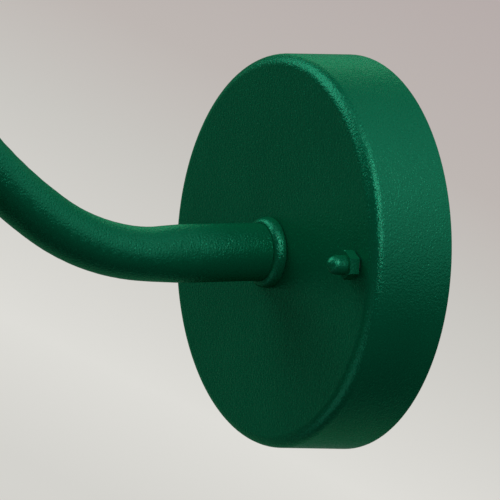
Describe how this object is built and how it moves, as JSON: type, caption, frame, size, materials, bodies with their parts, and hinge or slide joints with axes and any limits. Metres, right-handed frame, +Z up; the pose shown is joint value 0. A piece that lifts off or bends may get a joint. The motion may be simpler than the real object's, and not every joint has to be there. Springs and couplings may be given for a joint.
{
  "type": "outdoor wall light",
  "caption": "Swan-neck outdoor wall light: round wall canopy held by domed cap nuts, bent tube arm and dish shade over a screw-in lamp.",
  "frame": {"origin": "centre of the canopy's back, on the wall, at the middle of the bracket's back face", "axes": "+Z up, +Y into the wall, the arm and shade stand out along -Y"},
  "size_m": [0.26, 0.4418, 0.282],
  "materials": {
    "green_powder_coat": "fine-textured satin powder coat",
    "zinc_steel": "bright zinc plate",
    "black_rubber": "matt rubber",
    "white_plastic": "moulded nylon",
    "black_plastic": "moulded heat-resistant plastic",
    "brass": "turned brass",
    "porcelain": "glazed porcelain",
    "green_yellow_insulation": "striped wire insulation",
    "brown_insulation": "smooth wire insulation",
    "blue_insulation": "smooth wire insulation",
    "solder": "dull solder",
    "black_glass": "black cap glass",
    "nickel_cap": "nickel plate",
    "clear_glass": "clear blown glass",
    "phosphor": "phosphor-coated rods"
  },
  "bodies": {
    "fixture": {"wall_gasket": "black_rubber", "mounting_bracket": "zinc_steel", "cable_grommet": "black_rubber", "canopy_studs": "zinc_steel", "stud_nuts": "zinc_steel", "terminal_block": "white_plastic", "terminal_sleeves": "brass", "terminal_screws": "zinc_steel", "block_screws": "zinc_steel", "earth_ring": "brass", "earth_screw": "brass", "earth_wire": "green_yellow_insulation", "canopy": "green_powder_coat", "nut_washers": "black_rubber", "gooseneck_arm": "green_powder_coat", "root_collar": "green_powder_coat", "tip_collar": "green_powder_coat", "arm_end_plugs": "zinc_steel", "threaded_nipples": "zinc_steel", "lock_washers": "zinc_steel", "root_lock_nut": "zinc_steel", "nipple_bushes": "white_plastic", "live_wire": "brown_insulation", "neutral_wire": "blue_insulation", "neck_cup": "green_powder_coat", "shade_gasket": "black_rubber", "shade": "green_powder_coat", "shade_ring": "black_plastic", "lampholder_cap": "black_plastic", "holder_grub_screw": "zinc_steel", "lampholder_core": "porcelain", "holder_terminals": "brass", "holder_screws": "zinc_steel", "lampholder_skirt": "black_plastic", "lamp_seal": "black_rubber", "screw_shell": "brass", "centre_contact": "brass"},
    "right_nut": {"cap_nut_right": "green_powder_coat"},
    "left_nut": {"cap_nut_left": "green_powder_coat"},
    "lamp": {"lamp_contact": "solder", "lamp_insulator": "black_glass", "lamp_cap": "nickel_cap", "lamp_envelope": "clear_glass", "lamp_stem": "clear_glass", "filament_frame": "nickel_cap", "lamp_filaments": "phosphor"}
  },
  "joints": [
    {"name": "right_nut_unscrew", "type": "slide", "parent": "fixture", "child": "right_nut", "axis": [0, -1, 0], "range_m": [0, 0.012]},
    {"name": "left_nut_unscrew", "type": "slide", "parent": "fixture", "child": "left_nut", "axis": [0, -1, 0], "range_m": [0, 0.012]},
    {"name": "lamp_unscrew", "type": "slide", "parent": "fixture", "child": "lamp", "axis": [0, 0, -1], "range_m": [0, 0.13]}
  ]
}
